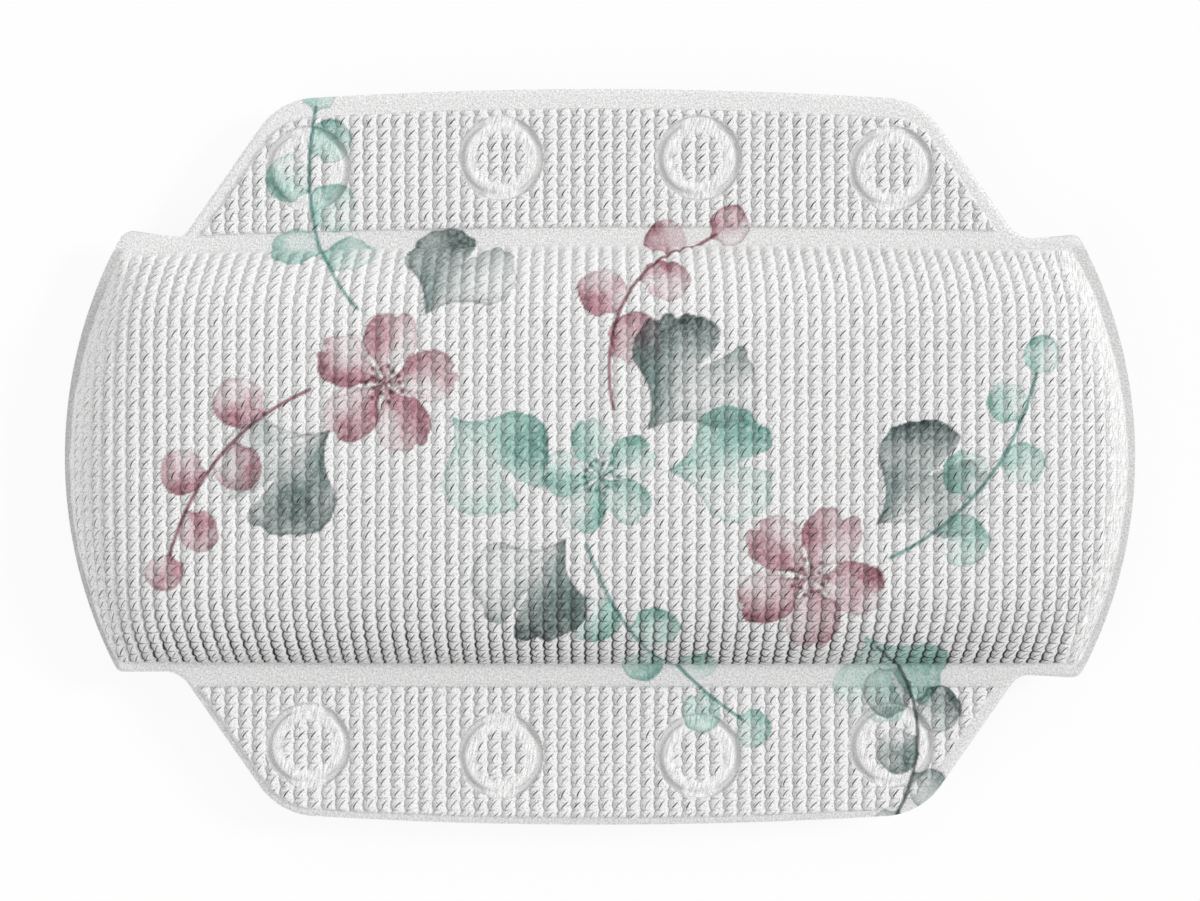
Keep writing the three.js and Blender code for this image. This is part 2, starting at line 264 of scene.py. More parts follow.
# The waffle's flanks, bulge and wander are shares of a cell. The slanted ridge on each cell is as long and
# wide as it says.
COLUMN_PITCH = 4.14
ROW_PITCH = 3.52
COLUMN_STEP = COLUMN_PITCH / 8
ROW_STEP = ROW_PITCH / 7
WAFFLE_DEPTH = 0.88
WAFFLE_LEVEL = 0.85  # the share of that depth which lies below the sheet's even surface
WAFFLE_SEED = 5
ROW_WANDER = 0.05
COLUMN_WANDER = 0.03
GROOVE_BULGE = 0.13
LEFT_FLANK = 0.3
LEFT_FLANK_POWER = 1.6
RIGHT_FLANK = 0.32
RIGHT_FLANK_POWER = 2.6
ROW_GROOVE = 0.26
ROW_GROOVE_POWER = 8
LEAST_SIZE = 0.9
SIZE_RANGE = 0.2
LEAST_WEIGHT = 0.6
WEIGHT_RANGE = 0.8
RIDGE = 0.14
RIDGE_WIDTHS = (0.35, 0.9)
RIDGE_HALF = 0.9
RIDGE_TAPER = 0.8
STROKE_TURN = np.radians(50)
STROKE_SWAY = 0.3

# Near the ends the waffle is worn down and streaked, more so at the right end. Its painted shade is deeper
# on the slope below and lighter on the slope above, and on both its columns are drawn in a little.
FADE_START = 0.95
FADE_WIDTH = 0.03
FADE_DEPTH = 0.8
WORN = 0.65
LEFT_WEAR = 0.35
# the share of the rims' grey and painted shade that the right rim gets
RIGHT_RIM = 0.6
RIM_FADE = 3
WORN_WIDTH = 7.5
WORN_FADE = 3
WELD_FOOT = 0.3
STREAK = 0.35
FINE_STREAK = 0.6
LONG_STREAKS = 6
SHORT_STREAKS = 3
STREAK_LEAD = 0.04
LOWER_SLOPE_SHADING = 1.6
UPPER_SLOPE_LIGHTENING = 0.45
MARK_FADES = (1.6, 0.4)
PULL = 0.037
PULL_START = 0.65

LATTICE = 128


def smooth(value):
    value = np.clip(value, 0, 1)
    return value * value * (3 - 2 * value)


def mottle(u, v, size, seed):
    """Soft noise from -1 to 1, in patches of about this size."""
    lattice = np.random.default_rng(seed).uniform(-1, 1, (LATTICE, LATTICE))
    column, row = np.floor(u / size).astype(int), np.floor(v / size).astype(int)
    right, up = smooth(u / size - column), smooth(v / size - row)

    def corner(aside, above):
        return lattice[(row + above) % LATTICE, (column + aside) % LATTICE]

    lower = corner(0, 0) * (1 - right) + corner(1, 0) * right
    upper = corner(0, 1) * (1 - right) + corner(1, 1) * right
    return lower * (1 - up) + upper * up


def end_reach(y, inset=0):
    return HALF_WIDTH - END_BOW_RADIUS + np.sqrt((END_BOW_RADIUS - inset) ** 2 - y**2)


def end_weld(x, y):
    """The width of the weld at the end of the pillow that x is nearer to."""
    places = -CROWN_HALF, 0, CROWN_HALF
    left, right = (np.interp(y, places, END_WELD_WIDTHS[side]) for side in (-1, 1))
    return np.where(x < 0, left, right)


def weld_bow(x):
    """How far the welds along the top and the bottom have bowed at x, as a share."""
    return ((x - BOW_MIDDLE) / BOW_HALF) ** 2


def foot(x, side):
    """How far from the middle the crown ends at x. side is positive at the top and negative below."""
    above, below = (CROWN_HALF + FOOT_RISES[end] - FOOT_BOWS[end] * weld_bow(x) for end in (1, -1))
    return np.where(side > 0, above, below)


def crown_share(s, t):
    """The crown's height as a share, s of the way from the middle to an end and t of the way to a side."""
    shoulder = (1 - t**SIDE_FULLNESS) ** SIDE_DROP * (1 - s**END_FULLNESS) ** END_DROP
    return (1 - DOME) * shoulder + DOME * (1 - t**2) * (1 - s**2)


def even_shares(across, level, step):
    """Shares of a profile's half width, to both sides of its middle, that lie a step apart along it."""
    length = np.insert(np.cumsum(np.hypot(np.diff(across), np.diff(level))), 0, 0)
    places = np.linspace(0, length[-1], round(length[-1] / step) + 1)
    share = np.interp(places, length, across) / across[-1]
    return np.concatenate([-share[:0:-1], share])


def waffle(u, v):
    """The embossed height, from 0 in a groove to about 1 on top of a cell, over the sheet's own u and v."""
    chance = np.random.default_rng(WAFFLE_SEED).random((3, LATTICE, LATTICE))
    v = v / ROW_PITCH + ROW_WANDER * mottle(u, v, size=9, seed=6)
    row = np.floor(v).astype(int)
    up = v - row - 0.5
    bulge = GROOVE_BULGE * (1 - (2 * up) ** 2)
    u = u / COLUMN_PITCH + bulge + COLUMN_WANDER * mottle(u, v * ROW_PITCH, size=7, seed=7)
    column = np.floor(u).astype(int)
    across = u - column - 0.5
    size, turn, weight = chance[:, row % LATTICE, column % LATTICE]
    size = LEAST_SIZE + SIZE_RANGE * size
    weight = LEAST_WEIGHT + WEIGHT_RANGE * weight
    left = np.clip(LEFT_FLANK - 0.5 - across, 0, None) / LEFT_FLANK
    right = np.clip(RIGHT_FLANK - 0.5 + across, 0, None) / RIGHT_FLANK
    rib = 1 - left**LEFT_FLANK_POWER - right**RIGHT_FLANK_POWER
    body = 1 - ROW_GROOVE * weight * np.abs(2 * up) ** ROW_GROOVE_POWER
    angle = STROKE_TURN + STROKE_SWAY * (turn - 0.5)
    x, y = across * COLUMN_PITCH, up * ROW_PITCH
    beside = y * np.cos(angle) - x * np.sin(angle)
    along = x * np.cos(angle) + y * np.sin(angle)
    width = np.where(beside > 0, *RIDGE_WIDTHS)
    ridge = np.exp(-((beside / width) ** 2)) * (1 - smooth((np.abs(along) - RIDGE_HALF) / RIDGE_TAPER))
    return size * rib * body + RIDGE / WAFFLE_DEPTH * ridge * weight


def normals_of(points):
    across = np.gradient(points, axis=1)
    along = np.gradient(points, axis=0)
    normal = np.cross(across, along)
    return normal / np.linalg.norm(normal, axis=2, keepdims=True)


FAR = 99  # stands for a place with no ring near it
HAIR = 1e-6  # in metres


def add_surface(bm, points, sheet=None, ink=None, welds=None):
    """Adds a grid and moves its vertices to these rows of points, with what its finish reads at each.

    sheet holds u, v and the waffle's strength, which also sets how deep its painted shade is, and ink the
    print's tint. welds holds the distance from the middle of the nearest ring, the distance inside the
    nearest weld, and how far the sheet is rubbed or stretched into streaks. That is below 0 on the end
    rims, which are greyer pressed vinyl, darkened further with painted shade that is deepest on the left
    rim.
    """
    rows, columns = points.shape[0] - 1, points.shape[1] - 1
    kinds = bm.verts.layers.float_vector
    layers = [kinds.get(name) or kinds.new(name) for name in ("sheet", "ink", "welds")]
    made = bmesh.ops.create_grid(bm, x_segments=columns, y_segments=rows, size=1)["verts"]
    plain = (np.zeros_like(points), np.ones_like(points), np.full_like(points, FAR))
    given = [spare if value is None else value for value, spare in zip((sheet, ink, welds), plain)]
    rows_of_values = [array.reshape(-1, 3).tolist() for array in (points * MM, *given)]
    for vertex, place, *values in zip(made, *rows_of_values):
        vertex.co = place
        for layer, value in zip(layers, values):
            vertex[layer] = value


def close_at_seam(bm):
    """Draws every open edge straight to the plane where the sheets meet, and closes the shell in it."""
    open_edges = [edge for edge in bm.edges if edge.is_boundary]
    rims = [edge for edge in open_edges if abs(edge.verts[0].co.z - SEAM_Z * MM) > HAIR]
    for edge in rims:
        edge.smooth = False
    made = bmesh.ops.extrude_edge_only(bm, edges=rims)["geom"]
    for vertex in made:
        if isinstance(vertex, bmesh.types.BMVert):
            vertex.co.z = SEAM_Z * MM
    ends = [edge for edge in bm.edges if edge.is_boundary]
    for edge in ends:
        edge.smooth = False
    bmesh.ops.triangle_fill(bm, use_beauty=True, use_dissolve=False, edges=ends, normal=(0, 0, 1))
    bmesh.ops.recalc_face_normals(bm, faces=bm.faces)


def finished(bm, name, finish):
    """Makes the bmesh a piece with smooth faces and its material."""
    for face in bm.faces:
        face.smooth = True
    mesh = bpy.data.meshes.new(name)
    bm.to_mesh(mesh)
    bm.free()
    piece = bpy.data.objects.new(name, mesh)
    bpy.context.scene.collection.objects.link(piece)
    mesh.materials.append(finish.material)
    return piece


# The print is a loose garland of round blossoms, fan-shaped leaves and sprays of coin-shaped ones, in
# washes of rose, mint and grey green. A wash pools dark at its edge, thins out in places and is grainy, as
# watercolour is.
ROSE = (0.66, 0.34, 0.41)
WINE = (0.24, 0.03, 0.07)
MINT = (0.52, 0.80, 0.72)
TEAL = (0.12, 0.34, 0.31)
SLATE = (0.26, 0.37, 0.35)
PITCH = (0.03, 0.06, 0.06)

# A leaf's outline about its root: half the angle that it fills, how round its end is, how deep it is cleft,
# and the number of its veins.
COIN = (1.35, 0.9, 0.0, 3)
PETAL = (0.74, 0.42, 0.1, 7)
FAN = (0.92, 0.2, 0.4, 12)

# Blossoms: place, petal's length, turn, wash and edge colour.
BLOSSOMS = (
    ((-64, 22), 22, 8, ROSE, WINE),
    ((0, -6), 18, 30, MINT, TEAL),
    ((62, -36), 23, 62, ROSE, WINE),
)
# Fans: root, heading, length, wash and edge colour.
FANS = (
    ((-80, 8), 222, 36, SLATE, PITCH),
    ((-52, 42), 62, 34, SLATE, PITCH),
    ((-44, 12), -48, 33, MINT, TEAL),
    ((14, 8), 50, 38, SLATE, PITCH),
    ((20, -4), 6, 32, MINT, TEAL),
    ((-10, -24), 236, 34, SLATE, PITCH),
    ((82, -20), 40, 36, SLATE, PITCH),
    ((80, -54), -60, 34, MINT, TEAL),
)
# Sprays: stem's start, bend and end, number of leaves, leaf length, wash and edge colour.
SPRAYS = (
    ((-72, 44), (-96, 70), (-88, 112), 6, 13, MINT, TEAL),
    ((-86, 20), (-118, 6), (-128, -30), 5, 12, ROSE, WINE),
    ((4, 14), (-4, 52), (36, 74), 5, 13, ROSE, WINE),
    ((-4, -26), (8, -62), (44, -86), 6, 12, MINT, TEAL),
    ((84, -58), (108, -84), (92, -114), 5, 12, SLATE, PITCH),
    ((86, -30), (120, -14), (130, 26), 5, 12, MINT, TEAL),
)
STEM_HALF = 0.4
STEM_POINTS = 160
STEM_STEP = 5
FIRST_LEAF = 35
LEAF_RUN = 120
LEAF_SPLAY = 0.95
LOWEST_LEAF = 1.35
LEAF_TAPER = 0.4
PETALS = 5
STAMENS = 14
STAMEN_POINTS = 12
STAMEN_LENGTH = 4.6
STAMEN_RANGE = 1.2
ANTHER_HALF = 0.6
FAN_SEED = 70
PETAL_SEED = 100
SEED_STEP = 10

# How a leaf's outline strays, and how strong its washes are: the plain one, the darker one towards its tip,
# the pool along its edge and its veins.
LEAF_MARGIN = 1.1
LEAF_SWAY = 0.07
LEAF_RAGGEDNESS = 0.04
CLEFT_WIDTH = 0.06
FLARE = 1.5
LEAN = 0.9
WASH_LEAST = 0.3
WASH_LEAN = 0.55
WASH_BLOOM = 0.3
WASH_GRAIN = 0.3
TIP_POWER = 1.6
TIP_LEAST = 0.6
TIP_BLOOM = 0.4
TIP_GRAIN = 0.6
POOL_WIDTH = 0.6
POOL_LEAST = 0.6
POOL_RANGE = 0.5
VEIN_HALF = 0.4
VEIN_INK = 0.5
VEIN_FADE = 0.4
INK = 0.85
INK_SPREAD = 0.4
INK_SOFTNESS = 0.5
LINE_MARGIN = 3


def wash(ink, where, strength, colour):
    strength = np.clip(strength, 0, 1)[:, None]
    ink[where] *= 1 - strength * (1 - np.array(colour))


def near(u, v, place, reach):
    return (np.abs(u - place[0]) < reach) & (np.abs(v - place[1]) < reach)


def paint_leaf(ink, u, v, root, heading, length, outline, colour, edge, seed):
    """One petal or leaf, darkest along its edge, its veins and its outer end on one side."""
    spread, roundness, cleft, veins = outline
    where = near(u, v, root, LEAF_MARGIN * length)
    x, y = u[where] - root[0], v[where] - root[1]
    reach = np.hypot(x, y)
    angle = (np.arctan2(y, x) - heading + np.pi) % (2 * np.pi) - np.pi
    angle += LEAF_SWAY * mottle(x, y, size=length / 3, seed=seed)
    end = length * np.cos(np.clip(angle / spread, -1, 1) * np.pi / 2) ** roundness
    notch = cleft * np.exp(-((angle / CLEFT_WIDTH) ** 2))
    end *= 1 - notch + LEAF_RAGGEDNESS * mottle(x, y, size=3, seed=seed + 1)
    share = reach / length
    flare = spread * (0.5 + 0.5 * smooth(FLARE * share))
    inside = np.minimum(end - reach, reach * np.sin(flare - np.abs(angle)))
    body = smooth(inside / INK_SOFTNESS + 0.5)
    lean = smooth(0.5 + LEAN * angle / spread)
    grain = mottle(x, y, size=0.7, seed=seed + 2)
    bloom = mottle(x, y, size=length / 3.5, seed=seed + 3)
    tone = WASH_LEAST + WASH_LEAN * lean + WASH_BLOOM * bloom
    wash(ink, where, body * tone * (1 + WASH_GRAIN * grain), colour)
    tip_tone = TIP_LEAST + TIP_BLOOM * bloom
    wash(ink, where, body * (lean * share) ** TIP_POWER * tip_tone * (1 + TIP_GRAIN * grain), edge)
    pool = np.exp(-np.maximum(inside, 0) / POOL_WIDTH)
    pool *= POOL_LEAST + POOL_RANGE * mottle(x, y, size=6, seed=seed + 4)
    wash(ink, where, body * pool * INK, edge)
    gap = reach * np.abs(np.sin(veins * angle)) / veins
    wash(ink, where, body * (1 - smooth(gap / VEIN_HALF)) * (VEIN_INK - VEIN_FADE * share), edge)


def paint_line(ink, u, v, line, half, colour):
    where = near(u, v, line.mean(axis=0), np.ptp(line, axis=0).max() / 2 + LINE_MARGIN)
    spots = np.stack([u[where], v[where]], axis=1)
    gap = np.full(len(spots), np.inf)
    for point in line:
        gap = np.minimum(gap, np.hypot(*(spots - point).T))
    wash(ink, where, smooth((half + INK_SPREAD - gap) / INK_SOFTNESS) * INK, colour)


def bend(start, middle, end, count):
    """Points along a stem that leans towards its middle point."""
    share = np.linspace(0, 1, count)[:, None]
    start, middle, end = map(np.array, (start, middle, end))
    return start * (1 - share) ** 2 + 2 * middle * share * (1 - share) + end * share**2


def printed(u, v):
    """The print's tint at each place of the sheet, white where it is bare."""
    shape = u.shape
    u, v = u.ravel(), v.ravel()
    ink = np.ones((u.size, 3))
    for number, (start, middle, end, count, size, colour, edge) in enumerate(SPRAYS):
        stem = bend(start, middle, end, STEM_POINTS)
        paint_line(ink, u, v, stem, STEM_HALF, edge)
        for leaf in range(count):
            spot = FIRST_LEAF + round(LEAF_RUN * leaf / (count - 1))
            ahead = stem[spot] - stem[spot - STEM_STEP]
            heading = np.arctan2(ahead[1], ahead[0])
            if leaf < count - 1:
                heading += LEAF_SPLAY if leaf % 2 else -LEAF_SPLAY
            grown = size * (LOWEST_LEAF - LEAF_TAPER * leaf / count)
            seed = SEED_STEP * number + leaf
            paint_leaf(ink, u, v, stem[spot], heading, grown, COIN, colour, edge, seed)
    for number, (root, heading, length, colour, edge) in enumerate(FANS):
        paint_leaf(ink, u, v, root, np.radians(heading), length, FAN, colour, edge, FAN_SEED + number)
    for number, (place, size, turn, colour, edge) in enumerate(BLOSSOMS):
        for petal in range(PETALS):
            heading = np.radians(turn + 360 / PETALS * petal)
            seed = PETAL_SEED + SEED_STEP * number + petal
            paint_leaf(ink, u, v, place, heading, size, PETAL, colour, edge, seed)
        for stamen in range(STAMENS):
            angle = 2 * np.pi * stamen / STAMENS
            length = STAMEN_LENGTH + STAMEN_RANGE * np.sin(3 * stamen + number)
            tip = np.array(place) + length * np.array((np.cos(angle), np.sin(angle)))
            paint_line(ink, u, v, bend(place, tip, tip, STAMEN_POINTS), 0.0, edge)
            paint_line(ink, u, v, tip[None], ANTHER_HALF, edge)
    return ink.reshape(*shape, 3)


# Foamed vinyl is satin white. Each cell of the waffle has a crease or two across it, left by the engraved
# roller and darkened with painted shade, and painted shade on its left flank, in its groove and along its
# rows, and the whole sheet is as fine and rough as sand. A dark line of painted shade marks the foot of a
# flap's welds and the outer edge of each pressed ring.
VINYL = (0.9, 0.9, 0.897, 1)
WANDER_SCALE = 0.8
COLUMN_SWAY = 0.14
SAND_SCALE = 2.4
SAND_SHADE = 0.95
SAND_DEPTH = 0.16
SPECK_SCALE = 1.3
SPECKS = (0.66, 0.74)
SPECK_SHADE = 0.4

# The creases, which lie a little astray in each cell, and which painted shade darkens.
STROKE_SPREAD = 0.36
STRAY_ACROSS = 0.6
STRAY_LEFT = 0.25
STRAY_UP = 0.5
STRAY_WANDER = 0.6
CREASE_HALF = 0.23
CREASE_REACH = 1.95
CREASE_EDGE = 0.25
CREASE_DEPTH = 0.16
CREASE_LEAST = 0.6
CREASE_RANGE = 0.5
CREASE_SHADE = 0.9
SECOND_PLACE = (0.62, -0.35)
SECOND_HALF = CREASE_HALF * 0.8
SECOND_REACH = CREASE_REACH * 0.7
SECOND_DEPTH = 0.08
SECOND_SHADE = 0.42
SHELF_ABOVE = (0.5, -0.1)
SHELF_BELOW = (-1.4, -0.2)
SHELF_TAPER = 0.8
SHELF_HEIGHT = 0.16
SCRATCH_TURN = STROKE_TURN + 0.5
SCRATCH_STRETCH = (3.5, 0.6, 1)
SCRATCH_DEPTH = 0.5
SCRATCH_SHADE = 0.9

# A cell's parts that painted shade darkens. Each begins at the first of its two places and is full at the
# second, and a place is a share of the cell's pitch, counted from its middle.
FLANK = (0.0, -0.5)
FLANK_SHADE = 0.25
GROOVE = (-0.38, -0.47)
GROOVE_SHADE = 0.22
ROW_END = (0.38, 0.5)
ROW_LEFT = (0.2, -0.4)
ROW_SHADE = 0.34
CLEFT = (0.39, 0.47)
CLEFT_LEAST = 0.5
CLEFT_RANGE = 0.6
CLEFT_SHADE = 0.9
SPLIT = (0.43, 0.5)
SPLIT_LEFT = (0.4, -0.2)
SPLIT_SHADE = 0.65

# The welds, the rims at the ends, and the rings that weld a suction cup on. Dark lines of painted shade
# along the foot of a flap's welds and round the rings are broken, and show only in parts.
WELD_EDGE = (0.6, -0.4)
WELD_SHADE = 0.07
WELD_GRAIN = 0.5
# painted shade, darker downwards on the welds
LOWER_PAINTED_SHADE = 0.06  # the welds get darker downwards, by this much at LOWER_END and below
LOWER_END = -50.0
# the end rims are greyer pressed vinyl, darkened further by painted shade
RIM_SHADE = 0.26
RING_MIDDLE = 11.6
RING_HALF = 1.0
RING_SOFTNESS = 0.1
RING_SHADE = 0.2
RING_LINE = (0.4, 0.05)
RING_LINE_PARTS = (0.3, 0.6)
FIELD_LINE_PLACE = 0.3
FIELD_LINE = (0.35, 0.05)
FIELD_LINE_PARTS = (0.3, 0.7)
LINE_SHADE = 0.3


def foamed_vinyl():
    vinyl = Finish("foamed vinyl", base_color=VINYL, roughness=0.55)
    sheet = vinyl.add("Attribute", {"attribute_name": "sheet"}, output="Vector")
    u, v, strength = vinyl.parts(sheet)
    ring, field, wear_and_rim_shade = vinyl.parts(vinyl.add("Attribute", {"attribute_name": "welds"}, output="Vector"))

    def noise(place, scale, detail):
        sockets = {"Vector": place, "Scale": scale, "Detail": detail}
        return vinyl.add("TexNoise", {"noise_dimensions": "2D"}, sockets)

    wander = noise(sheet, WANDER_SCALE, 2.0)
    sand = noise(sheet, SAND_SCALE, 3.0)
    specks = noise(sheet, SPECK_SCALE, 1.0)
    marks = strength.math("MINIMUM", 1.0)

    v_cell = v / ROW_PITCH
    up = v_cell.math("FRACT") - 0.5
    u_cell = u / COLUMN_PITCH + wander * COLUMN_SWAY - up * up * (4 * GROOVE_BULGE)
    u_cell = u_cell + (GROOVE_BULGE - COLUMN_SWAY / 2)
    across = u_cell.math("FRACT") - 0.5
    cell = vinyl.add("CombineXYZ", sockets={0: u_cell.math("FLOOR"), 1: v_cell.math("FLOOR")})
    chances = vinyl.add("TexWhiteNoise", {"noise_dimensions": "2D"}, {"Vector": cell}, "Color")
    first, second, third = vinyl.parts(chances)

    x = across * COLUMN_PITCH + first * STRAY_ACROSS - STRAY_LEFT
    y = up * ROW_PITCH + second * STRAY_UP - STRAY_UP / 2 + wander * STRAY_WANDER - STRAY_WANDER / 2
    angle = third * STROKE_SPREAD + (STROKE_TURN - STROKE_SPREAD / 2)
    cosine, sine = angle.math("COSINE"), angle.math("SINE")
    beside = y * cosine - x * sine
    along = x * cosine + y * sine

    def crease(aside, ahead, half, reach):
        """A thin crease that tapers to both ends, from 0 beside it to 1 in its middle."""
        across_it, along_it = (beside - aside) / half, (along - ahead) / reach
        return vinyl.between(across_it * across_it + along_it * along_it, 1.0, CREASE_EDGE)

    # painted shade darkens each crease
    main = crease(0, 0, CREASE_HALF, CREASE_REACH) * marks * (second * CREASE_RANGE + CREASE_LEAST)
    other = crease(*SECOND_PLACE, SECOND_HALF, SECOND_REACH) * marks * first
    shelf = vinyl.between(beside, *SHELF_ABOVE) * vinyl.between(beside, *SHELF_BELOW)
    shelf = shelf * vinyl.between(along.math("ABSOLUTE"), CREASE_REACH, CREASE_REACH - SHELF_TAPER) * marks
    speck = vinyl.between(specks, *SPECKS)

    turned = {"Vector": sheet, "Rotation": (0, 0, SCRATCH_TURN), "Scale": SCRATCH_STRETCH}
    drawn_out = vinyl.add("Mapping", {"vector_type": "TEXTURE"}, turned)
    streaked = wear_and_rim_shade.math("MAXIMUM", 0.0)
    scratch = (noise(drawn_out, 1.0, 1.0) - 0.5) * streaked

    height = shelf * SHELF_HEIGHT - main * CREASE_DEPTH - other * SECOND_DEPTH
    height = height + sand * (2 * SAND_DEPTH) + scratch * SCRATCH_DEPTH
    relief = vinyl.add("Bump", sockets={"Height": height, "Distance": MM, "Strength": 1.0})
    vinyl.paint("Normal", relief)

    beside_middle, above_middle = across.math("ABSOLUTE"), up.math("ABSOLUTE")
    # painted shade on each cell's left flank, in its groove and at its row's ends
    flank = vinyl.between(across, *FLANK) * strength * marks
    groove = vinyl.between(across, *GROOVE) * strength * marks
    row = vinyl.between(above_middle, *ROW_END) * vinyl.between(across, *ROW_LEFT) * strength
    # painted shade, dark in the clefts between columns and the splits between rows on the lower slope
    lower_slope_shade = (strength - 1).math("MAXIMUM", 0.0)
    cleft = vinyl.between(beside_middle, *CLEFT) * lower_slope_shade * (first * CLEFT_RANGE + CLEFT_LEAST)
    split = vinyl.between(above_middle, *SPLIT) * vinyl.between(across, *SPLIT_LEFT) * lower_slope_shade

    weld = vinyl.between(field, *WELD_EDGE)
    # painted shade that darkens the welds towards the bottom
    lower_weld_painted_shade = weld * vinyl.between(v, 0.0, LOWER_END)
    rim = vinyl.between(wear_and_rim_shade, 0.0, -1.0)
    bare = 1 - streaked
    from_ring = (ring - RING_MIDDLE).math("ABSOLUTE")
    band = vinyl.between(from_ring, RING_HALF + RING_SOFTNESS, RING_HALF - RING_SOFTNESS) * bare
    # painted shade: a dark line round each pressed ring's outer edge, and along the foot of a flap's welds
    ring_line = vinyl.between((ring - RING_MIDDLE - RING_HALF).math("ABSOLUTE"), *RING_LINE) * bare
    ring_line = ring_line * vinyl.between(wander, *RING_LINE_PARTS)
    on_flap = vinyl.between(ring, FAR, FAR / 2)
    field_line = vinyl.between((field - FIELD_LINE_PLACE).math("ABSOLUTE"), *FIELD_LINE) * on_flap
    field_line = field_line * vinyl.between(wander, *FIELD_LINE_PARTS)

    shadows = (
        (main, CREASE_SHADE),
        (other, SECOND_SHADE),
        (flank, FLANK_SHADE),
        (groove, GROOVE_SHADE),
        (row, ROW_SHADE),
        (cleft, CLEFT_SHADE),
        (split, SPLIT_SHADE),
        (speck * marks, SPECK_SHADE),
        (weld, WELD_SHADE),
        (lower_weld_painted_shade, LOWER_PAINTED_SHADE),
        (rim, RIM_SHADE),
        (band, RING_SHADE),
        (ring_line, LINE_SHADE),
        (field_line, LINE_SHADE),
    )
    shade = 1 + SAND_SHADE * (sand - 0.5) + SCRATCH_SHADE * scratch + WELD_GRAIN * weld * (specks - 0.5)
    for shadow, share in shadows:
        shade = shade * (1 - shadow * share)
    tint = vinyl.add("Attribute", {"attribute_name": "ink"}, output="Color")
    printed_vinyl = vinyl.mixed(1.0, tint, VINYL, "MULTIPLY")
    grey = vinyl.add("CombineColor", sockets={0: shade, 1: shade, 2: shade})
    vinyl.paint("Base Color", vinyl.mixed(1.0, printed_vinyl, grey, "MULTIPLY"))
    return vinyl


front_finish = foamed_vinyl()

OUTER_SHARE = 0.93  # past this share of the half width, the columns follow the end welds' own widths
PROFILE_POINTS = 600
ROWS_FROM = 0.3  # the rows are spaced evenly along the crown's profile at this share of its half width

crown_height = CROWN_TOP - WELD_Z
out = 1 - (1 - np.linspace(0, 1, PROFILE_POINTS)) ** 2
middle_reach = end_reach(0, EVEN_END_WELD)
column_share = even_shares(middle_reach * out, crown_height * crown_share(out, 0), COLUMN_STEP)
row_share = even_shares(CROWN_HALF * out, crown_height * crown_share(ROWS_FROM, out), ROW_STEP)


def spread_out(s, y, inset):
    """The x of these shares of the half width, and of the end welds that the outer columns follow."""
    even_ends, ends = end_reach(y, EVEN_END_WELD + inset), end_reach(y, end_weld(s, y) + inset)
    x = s * middle_reach - s**3 * (middle_reach - even_ends)
    x += np.sign(s) * smooth((np.abs(s) - OUTER_SHARE) / (1 - OUTER_SHARE)) * (ends - even_ends)
    return x, ends


def crown_points(s, t, inset=0):
    """Rows of points over the crown, or over a like surface that lies this far inside it."""
    s, t = np.meshgrid(s, t)
    x, ends = spread_out(s, t * (CROWN_HALF - inset), inset)
    y = t * (foot(x, t) - inset)
    level = crown_share(np.clip(np.abs(x) / ends, 0, 1), np.abs(t))
    return np.stack([x, y, WELD_Z + (crown_height - inset) * level], axis=2)


def run_from_middle(points, axis):
    """Each point's distance along the surface from the middle row or column."""
    steps = np.linalg.norm(np.diff(points, axis=axis), axis=2)
    run = np.insert(np.cumsum(steps, axis), 0, 0, axis)
    return run - run.take([run.shape[axis] // 2], axis)


def widen(points, shares, axis, place):
    """Adds rows or columns past both ends of a grid. place gives each of them from the outermost one."""
    low, high = points.take(0, axis), points.take(-1, axis)
    below = [place(low, share) for share in shares[::-1]]
    above = [place(high, share) for share in shares]
    return np.concatenate([np.stack(below, axis), points, np.stack(above, axis)], axis)


FLAP_ROOT_HALF = 123.3
FLAP_SLANT = np.radians(55)
FLAP_CORNER = 21
FLAP_BOW_RADIUS = 1400
NOTCH_RADII = {1: (3, 9), -1: (9, 6)}  # left and right, at the top (1) and the bottom (-1)

flap_high = box_mm("top_flap_front_sheet")[1]
up_side = np.array((-np.cos(FLAP_SLANT), np.sin(FLAP_SLANT)))
outward = np.array((np.sin(FLAP_SLANT), np.cos(FLAP_SLANT)))
flap_root_corner = np.array((FLAP_ROOT_HALF, FOLD_Y))
bow_centre = np.array((0, flap_high.y - FLAP_BOW_RADIUS))
first_centre = flap_root_corner - FLAP_CORNER * outward
offset = first_centre - bow_centre
along_side = offset @ up_side
travel = np.sqrt(along_side**2 - offset @ offset + (FLAP_BOW_RADIUS - FLAP_CORNER) ** 2) - along_side
flap_corner = first_centre + travel * up_side
to_corner = (flap_corner - bow_centre) / np.linalg.norm(flap_corner - bow_centre)
along_bow = np.array((to_corner[1], -to_corner[0]))


